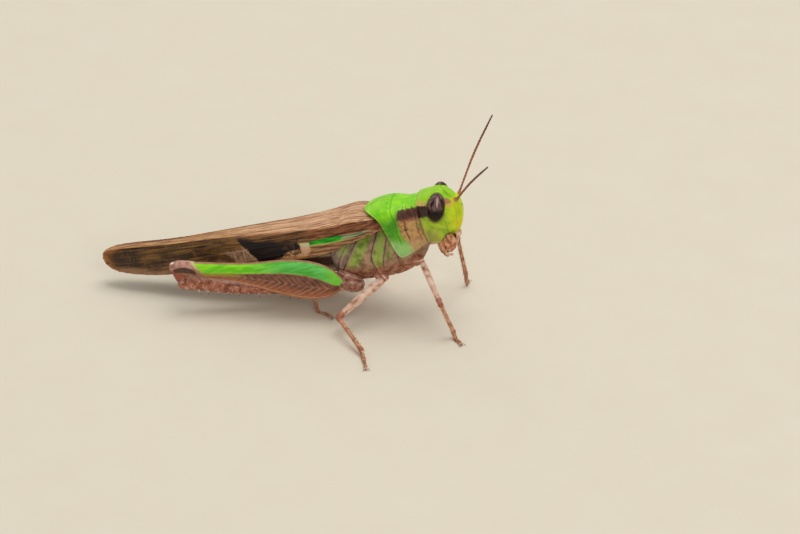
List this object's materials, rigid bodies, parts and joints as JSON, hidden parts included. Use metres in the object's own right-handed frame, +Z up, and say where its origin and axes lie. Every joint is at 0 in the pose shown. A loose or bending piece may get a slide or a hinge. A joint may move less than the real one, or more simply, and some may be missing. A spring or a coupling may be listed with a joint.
{
  "type": "grasshopper",
  "caption": "Life-size slender green-winged grasshopper standing with folded wings, head raised, feelers forward and hind legs folded.",
  "frame": {"origin": "middle of the insect's box, on the floor it stands on", "axes": "+X towards the head, +Y to the insect's left, +Z up"},
  "size_m": [0.0336, 0.021, 0.0175],
  "materials": {
    "head_shell": "satin green cuticle, yellower on the face",
    "pronotum_shell": "satin bright green cuticle with a brown band",
    "eye": "glossy dark brown, faintly streaked",
    "antenna": "satin brown, darker towards the tip",
    "mouthparts": "satin orange brown",
    "thorax": "satin brown cuticle with green plates",
    "abdomen": "satin tan rings",
    "forewing": "dry veined membrane, brown with tan, green and black fields",
    "leg": "satin pinkish tan, mottled brown",
    "hind_femur": "satin, green above and red brown below, with pale keels",
    "hind_tibia": "satin reddish brown, spines dark at their tips"
  },
  "bodies": {
    "root": {"abdomen": "abdomen", "antenna_left": "antenna", "antenna_right": "antenna", "coxa_fore_left": "leg", "coxa_fore_right": "leg", "coxa_hind_left": "leg", "coxa_hind_right": "leg", "coxa_middle_left": "leg", "coxa_middle_right": "leg", "eye_left": "eye", "eye_right": "eye", "femur_fore_left": "leg", "femur_fore_right": "leg", "femur_hind_left": "hind_femur", "femur_hind_right": "hind_femur", "femur_middle_left": "leg", "femur_middle_right": "leg", "forewing_left": "forewing", "forewing_right": "forewing", "head": "head_shell", "jaws": "mouthparts", "ovipositor": "abdomen", "palp_left": "mouthparts", "palp_right": "mouthparts", "pronotum": "pronotum_shell", "tarsus_fore_left": "leg", "tarsus_fore_right": "leg", "tarsus_hind_left": "leg", "tarsus_hind_right": "leg", "tarsus_middle_left": "leg", "tarsus_middle_right": "leg", "thorax": "thorax", "tibia_fore_left": "leg", "tibia_fore_right": "leg", "tibia_hind_left": "hind_tibia", "tibia_hind_right": "hind_tibia", "tibia_middle_left": "leg", "tibia_middle_right": "leg", "upper_lip": "mouthparts"}
  },
  "joints": []
}
